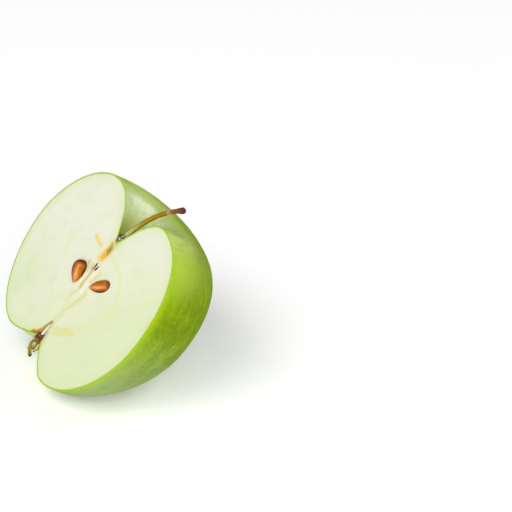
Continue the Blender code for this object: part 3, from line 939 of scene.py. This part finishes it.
BARK_BLACK = paint(64, 54, 46)
BARK_FLECK = paint(220, 212, 190)
BARK_BEIGE = paint(206, 196, 138)
BARK_OLIVE = paint(188, 170, 66)
BARK_GOLD = paint(168, 140, 4)
BARK_AMBER = paint(168, 126, 8)
BARK_BROWN = paint(124, 88, 12)
BARK_RED = paint(138, 98, 30)
BARK_PINK = paint(226, 196, 180)
BARK_PURPLE = paint(98, 52, 46)


def make_bark():
    """Dry stem bark whose colour changes from the rough black base to the red-brown end."""
    finish = Finish("stem_bark", {"Roughness": 0.5, "Specular IOR Level": 0.12})
    place = finish.fruit_place()
    along = finish.layer("along")
    grain = finish.grain(finish.stretched(place, (1.0, 1.0, 0.3)), 2.4, detail=5.0, roughness=0.7)
    specks = finish.grain(place, 1.5, detail=3.0, roughness=0.7)
    shifted = along + (grain - 0.5) * 0.07
    stops = [
        (0.0, BARK_BLACK), (0.15, BARK_BLACK), (0.22, BARK_BEIGE), (0.38, BARK_OLIVE),
        (0.5, BARK_GOLD), (0.74, BARK_AMBER), (0.88, BARK_RED), (1.0, BARK_PURPLE),
    ]
    colour = finish.node("ValToRGB", {"stops": stops}, {"Fac": shifted})
    colour = finish.blend(finish.ease(grain, 0.5, 0.7) * 0.65, colour, BARK_BROWN)
    at_base = 1.0 - finish.ease(along, 0.12, 0.24)
    colour = finish.blend(at_base * finish.ease(specks, 0.5, 0.58), colour, BARK_FLECK)
    scar = ((along - 0.82) * 45.0).fade()
    colour = finish.blend(scar * finish.ease(specks, 0.4, 0.55) * 0.8, colour, BARK_PINK)
    finish.feed(finish.shader, {
        "Base Color": colour,
        "Normal": finish.bump(grain, 0.2),
    })
    return finish.material


stem_bm = bmesh.new()
stem_bm.verts.layers.float.new("along")
sweep_tube(stem_bm, STEM_ROUTE, stem_radius, STEM_RINGS, STEM_SIDES)
roughen_bark(stem_bm)
stem = add_object("stem_bark", stem_bm, [make_bark()])
set_down(stem)
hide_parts("stem")
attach(stem, "root")


# The two strands in the opened calyx tube. They are the tube's own soft lining, which lies loose
# in the groove that the knife opened, white where it has dried and golden along one side. Each
# is a swept tube.

STRAND_RINGS, STRAND_SIDES = 40, 20
STRANDS = {
    "pale_strand": {
        "route": [(0.1, -0.7, -18.9), (0.1, -0.6, -20.6), (0.0, -0.55, -22.6), (-0.1, -0.45, -24.8)],
        "radius": 0.22, "swell": 0.4, "colour": paint(236, 226, 234), "fibre": paint(232, 220, 186),
    },
    "golden_strand": {
        "route": [(-0.2, -0.8, -19.6), (-0.6, -0.85, -21.0), (-1.0, -0.8, -22.6), (-1.5, -0.7, -24.4)],
        "radius": 0.2, "swell": 0.24, "colour": paint(176, 146, 30), "fibre": paint(206, 184, 84),
    },
}


def make_strand_finish(name, strand):
    """Dry lining with long fibres."""
    finish = Finish(name, {"Roughness": 0.55, "Specular IOR Level": 0.2})
    place = finish.fruit_place()
    fibres = finish.grain(finish.stretched(place, (2.0, 2.0, 0.5)), 2.0, detail=3.0)
    colour = finish.blend(finish.ease(fibres, 0.45, 0.7), strand["colour"], strand["fibre"])
    finish.feed(finish.shader, {"Base Color": colour, "Normal": finish.bump(fibres, 0.1)})
    return finish.material


for name, strand in STRANDS.items():

    def strand_radius(share):
        """Thin where it leaves the core, and fuller towards the basin."""
        return strand["radius"] + strand["swell"] * math.sin(0.5 * math.pi * share)

    strand_bm = bmesh.new()
    strand_bm.verts.layers.float.new("along")
    sweep_tube(strand_bm, strand["route"], strand_radius, STRAND_RINGS, STRAND_SIDES)
    lining = add_object(name, strand_bm, [make_strand_finish(name, strand)])
    set_down(lining)
    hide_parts("fruit_body")
    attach(lining, "root")


# The dried calyx. Five withered sepals of the old flower curl out of the basin round a tuft of
# dry stamens that stands in the mouth of the opened tube. All of it grew on the fruit.

TUFT_RADIUS = 1.9
TUFT_CENTRE = -26.6
TUFT_LENGTH = 5.0
TUFT_ROUGHNESS = 0.22
SEPALS = [
    {"heading": 186, "out": 0.5, "length": 8.6, "width": 2.8, "lean": 36, "curl": -100, "twist": -46},
    {"heading": 240, "out": 1.0, "length": 4.4, "width": 3.0, "lean": 28, "curl": -75, "twist": 0},
    {"heading": 318, "out": 1.0, "length": 5.2, "width": 2.6, "lean": 20, "curl": -60, "twist": 0},
    {"heading": 30, "out": 1.1, "length": 5.6, "width": 2.8, "lean": 28, "curl": -60, "twist": 0},
    {"heading": 112, "out": 1.2, "length": 6.6, "width": 3.0, "lean": 34, "curl": -70, "twist": 0},
]
SEPAL_THICKNESS = 0.34
SEPAL_ROOT = -26.0
SEPAL_TROUGH = 0.55
SEPAL_WOBBLE = 0.25
SEPAL_TOOTH = 0.18

CALYX_OLIVE = paint(150, 154, 66)
CALYX_CREAM = paint(238, 224, 174)
CALYX_BROWN = paint(134, 106, 50)
CALYX_DARK = paint(84, 54, 36)
TUFT_MAROON = paint(104, 52, 34)
TUFT_OLIVE = paint(140, 132, 54)
TUFT_FLECK = paint(216, 200, 140)


def sepal_shape(sepal):
    """A pointed blade, troughed along its middle, that leans out from the core and curls."""
    lean = math.radians(sepal["lean"])
    curl = math.radians(sepal["curl"])
    length = sepal["length"]
    bm = bmesh.new()
    along = bm.verts.layers.float.new("along")
    edge = bm.verts.layers.float.new("edge")
    bmesh.ops.create_grid(bm, x_segments=12, y_segments=40, size=1.0)
    for vert in bm.verts:
        share = 0.5 * (1.0 + vert.co.y)
        side = vert.co.x
        half_width = 0.5 * sepal["width"] * (1.0 - 0.97 * share ** 3) ** 0.6
        half_width *= 1.0 + SEPAL_TOOTH * noise.noise(Vector((side, 5.0 * share, sepal["heading"])))
        flat = half_width * side
        wobble = SEPAL_WOBBLE * noise.noise(Vector((2.0 * side, 4.0 * share, sepal["heading"] + 3.0)))
        trough = SEPAL_TROUGH * side * side * half_width + wobble * share
        twist = math.radians(sepal["twist"]) * min(1.0, 2.0 * share)
        across = flat * math.cos(twist) - trough * math.sin(twist)
        thick = trough * math.cos(twist) + flat * math.sin(twist)
        angle = lean + curl * share
        down = length / curl * (math.sin(angle) - math.sin(lean))
        out = length / curl * (math.cos(lean) - math.cos(angle))
        out += sepal["out"] - thick * math.cos(angle)
        down += thick * math.sin(angle)
        vert.co = Vector((out, across, SEPAL_ROOT - down))
        vert[along] = share
        vert[edge] = abs(side)
    heading = Matrix.Rotation(math.radians(sepal["heading"]), 4, "Z")
    bmesh.ops.transform(bm, matrix=heading, verts=bm.verts)
    return bm


def make_sepal_finish():
    """Dry sepal: olive in the trough, cream along the rolled edges, dark towards the tip."""
    finish = Finish("dried_sepal", {"Roughness": 0.8, "Specular IOR Level": 0.15})
    place = finish.fruit_place()
    along = finish.layer("along")
    edge = finish.layer("edge")
    fuzz = finish.grain(place, 3.0, detail=4.0, roughness=0.7)
    patches = finish.grain(place, 0.9, detail=3.0)
    colour = finish.blend(finish.ease(patches, 0.4, 0.65), CALYX_OLIVE, CALYX_BROWN)
    at_edge = finish.ease(edge + (fuzz - 0.5) * 0.4, 0.5, 0.9)
    colour = finish.blend(at_edge * 0.9, colour, CALYX_CREAM)
    colour = finish.blend(finish.ease(fuzz, 0.52, 0.7) * 0.4, colour, CALYX_CREAM)
    colour = finish.blend(finish.ease(along + (fuzz - 0.5) * 0.2, 0.82, 0.96), colour, CALYX_DARK)
    finish.feed(finish.shader, {"Base Color": colour, "Normal": finish.bump(fuzz, 0.15)})
    return finish.material


def make_tuft_finish():
    """Dry stamens and flower remains, maroon by the fruit and olive where they stick out."""
    finish = Finish("dried_stamens", {"Roughness": 0.85, "Specular IOR Level": 0.15})
    place = finish.fruit_place()
    z = finish.split(place)[2]
    fuzz = finish.grain(place, 1.4, detail=4.0, roughness=0.7)
    outer = 1.0 - finish.ease(z + (fuzz - 0.5) * 3.0, -28.0, -26.0)
    colour = finish.blend(outer, TUFT_MAROON, TUFT_OLIVE)
    colour = finish.blend(finish.ease(fuzz, 0.5, 0.7) * 0.7, colour, CALYX_DARK)
    flecks = finish.grain(place, 1.9, detail=3.0, roughness=0.6)
    colour = finish.blend(finish.ease(flecks, 0.58, 0.66) * 0.8, colour, TUFT_FLECK)
    finish.feed(finish.shader, {"Base Color": colour, "Normal": finish.bump(fuzz, 0.2)})
    return finish.material


def tuft_shape():
    """The rough plug of dry flower remains in the mouth of the tube."""
    bm = bmesh.new()
    bmesh.ops.create_uvsphere(bm, u_segments=40, v_segments=30, radius=1.0)
    size = Matrix.Diagonal((TUFT_RADIUS, TUFT_RADIUS, 0.5 * TUFT_LENGTH, 1.0))
    centre = Matrix.Translation((0.0, 0.0, TUFT_CENTRE))
    bmesh.ops.transform(bm, matrix=centre @ size, verts=bm.verts)
    for vert in bm.verts:
        outward = Vector((vert.co.x, vert.co.y, vert.co.z - TUFT_CENTRE))
        vert.co += outward * TUFT_ROUGHNESS * noise.noise(vert.co * 1.3)
    return bm


STAMENS = 26
STAMEN_TURN = math.radians(137.5)
STAMEN_RADIUS = 0.14
STAMEN_ROOT = -25.0
STAMEN_REACH = 3.6
STAMEN_RINGS, STAMEN_SIDES = 14, 6


def stamen_radius(share):
    """Half as thick at the end as at the root."""
    return STAMEN_RADIUS * (1.0 - 0.5 * share)


def stamen_shapes():
    """Thin dry threads that stand out of the tuft and bend over at their ends."""
    bm = bmesh.new()
    bm.verts.layers.float.new("along")
    for number in range(STAMENS):
        turn = STAMEN_TURN * number
        bend = turn + 1.2 * math.sin(3.0 * number)
        spread = 0.7 + 1.3 * number / STAMENS
        reach = STAMEN_REACH * (1.0 - 0.3 * number / STAMENS)
        route = [
            (0.5 * math.cos(turn), 0.5 * math.sin(turn), STAMEN_ROOT),
            (spread * math.cos(turn), spread * math.sin(turn), STAMEN_ROOT - 0.4 * reach),
            (1.2 * spread * math.cos(turn), 1.2 * spread * math.sin(turn), STAMEN_ROOT - 0.9 * reach),
            (1.4 * spread * math.cos(bend), 1.4 * spread * math.sin(bend), STAMEN_ROOT - reach),
        ]
        sweep_tube(bm, route, stamen_radius, STAMEN_RINGS, STAMEN_SIDES)
    return bm


sepal_finish = make_sepal_finish()
tuft_finish = make_tuft_finish()
calyx_pieces = [
    add_object("calyx_tuft", tuft_shape(), [tuft_finish]),
    add_object("calyx_stamens", stamen_shapes(), [tuft_finish]),
]
for number, sepal in enumerate(SEPALS, start=1):
    blade = add_object(f"sepal_{number}", sepal_shape(sepal), [sepal_finish])
    calyx_pieces.append(blade)
for piece in calyx_pieces:
    set_down(piece)
    if piece.name.startswith("sepal"):
        wall = piece.modifiers.new("thickness", "SOLIDIFY")
        wall.thickness = SEPAL_THICKNESS * MM
        wall.offset = 0.0
        rounding = piece.modifiers.new("rounding", "SUBSURF")
        rounding.levels = 1
        rounding.render_levels = 1
    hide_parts("calyx")
    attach(piece, "root")


# The photographer's light table: a white sheet that glows faintly from below, white walls, and
# large softboxes to the upper left, in front and to the upper right. None of it belongs to the
# fruit.

FLOOR_REACH = 6.0
PAPER_WHITE = (0.93, 0.93, 0.93, 1.0)
PAPER_GREY = (0.88, 0.88, 0.88, 1.0)
PAPER_GLOW = 0.16
WALL_WHITE = (1.0, 1.0, 1.0, 1.0)
WALL_STRENGTH = 0.2
VIEW_AZIMUTH = 59.5
VIEW_ELEVATION = 30.0
VIEW_DISTANCE = 0.814
PICTURE_SIZE = 512
SENSOR_WIDTH = 36.0
PAPER_TOOTH_SCALE = 900.0
LENS_PIXELS = 2519.0
CORE_PIXEL = (88.07, 280.91)
SOFTBOXES = [
    {"name": "left", "azimuth": 15.0, "elevation": 50.0, "distance": 2.5, "size": 1.4, "power": 36.0},
    {"name": "front", "azimuth": 62.0, "elevation": 32.0, "distance": 2.5, "size": 1.6, "power": 34.0},
    {"name": "right", "azimuth": 166.0, "elevation": 40.0, "distance": 2.5, "size": 1.3, "power": 15.0},
]


def direction(azimuth, elevation):
    """The way from the fruit to a place at an azimuth and elevation, in degrees."""
    turn = math.radians(azimuth)
    rise = math.radians(elevation)
    level = math.cos(rise)
    return Vector((math.sin(turn) * level, -math.cos(turn) * level, math.sin(rise)))


def make_floor():
    """Matt white paper with the faintest tooth, lit a little through its back."""
    finish = Finish("white_paper", {
        "Roughness": 0.9, "Specular IOR Level": 0.2,
        "Emission Color": WALL_WHITE, "Emission Strength": PAPER_GLOW,
    })
    where = finish.node("TexCoord", {}, {}, output="Object")
    tooth = finish.grain(where, PAPER_TOOTH_SCALE, detail=2.0)
    colour = finish.blend(tooth * 0.2, PAPER_WHITE, PAPER_GREY)
    finish.feed(finish.shader, {"Base Color": colour})
    return finish.material


floor_bm = bmesh.new()
bmesh.ops.create_grid(floor_bm, x_segments=1, y_segments=1, size=FLOOR_REACH)
floor = add_object("paper_floor", floor_bm, [make_floor()])

world = bpy.data.worlds.new("white_room")
world.use_nodes = True
walls = world.node_tree.nodes["Background"]
walls.inputs["Color"].default_value = WALL_WHITE
walls.inputs["Strength"].default_value = WALL_STRENGTH
bpy.context.scene.world = world
bpy.context.scene.view_settings.view_transform = "Standard"

fruit_middle = MM * fruit_placing.translation
for softbox in SOFTBOXES:
    light = bpy.data.lights.new(softbox["name"], "AREA")
    light.shape = "SQUARE"
    light.size = softbox["size"]
    light.energy = softbox["power"]
    lamp = bpy.data.objects.new(softbox["name"] + "_softbox", light)
    away = direction(softbox["azimuth"], softbox["elevation"])
    lamp.location = fruit_middle + away * softbox["distance"]
    lamp.rotation_mode = "QUATERNION"
    lamp.rotation_quaternion = (-away).to_track_quat("-Z", "Y")
    bpy.context.scene.collection.objects.link(lamp)

camera_data = bpy.data.cameras.new("camera")
camera_data.sensor_width = SENSOR_WIDTH
camera_data.lens = LENS_PIXELS * SENSOR_WIDTH / PICTURE_SIZE
camera = bpy.data.objects.new("camera", camera_data)
toward = direction(VIEW_AZIMUTH, VIEW_ELEVATION)
half_size = 0.5 * PICTURE_SIZE
core_ray = Vector((CORE_PIXEL[0] - half_size, half_size - CORE_PIXEL[1], -LENS_PIXELS))
aside = core_ray.rotation_difference(Vector((0.0, 0.0, -1.0)))
camera.location = fruit_middle + toward * VIEW_DISTANCE
camera.rotation_mode = "QUATERNION"
camera.rotation_quaternion = (-toward).to_track_quat("-Z", "Y") @ aside
bpy.context.scene.collection.objects.link(camera)
bpy.context.scene.camera = camera
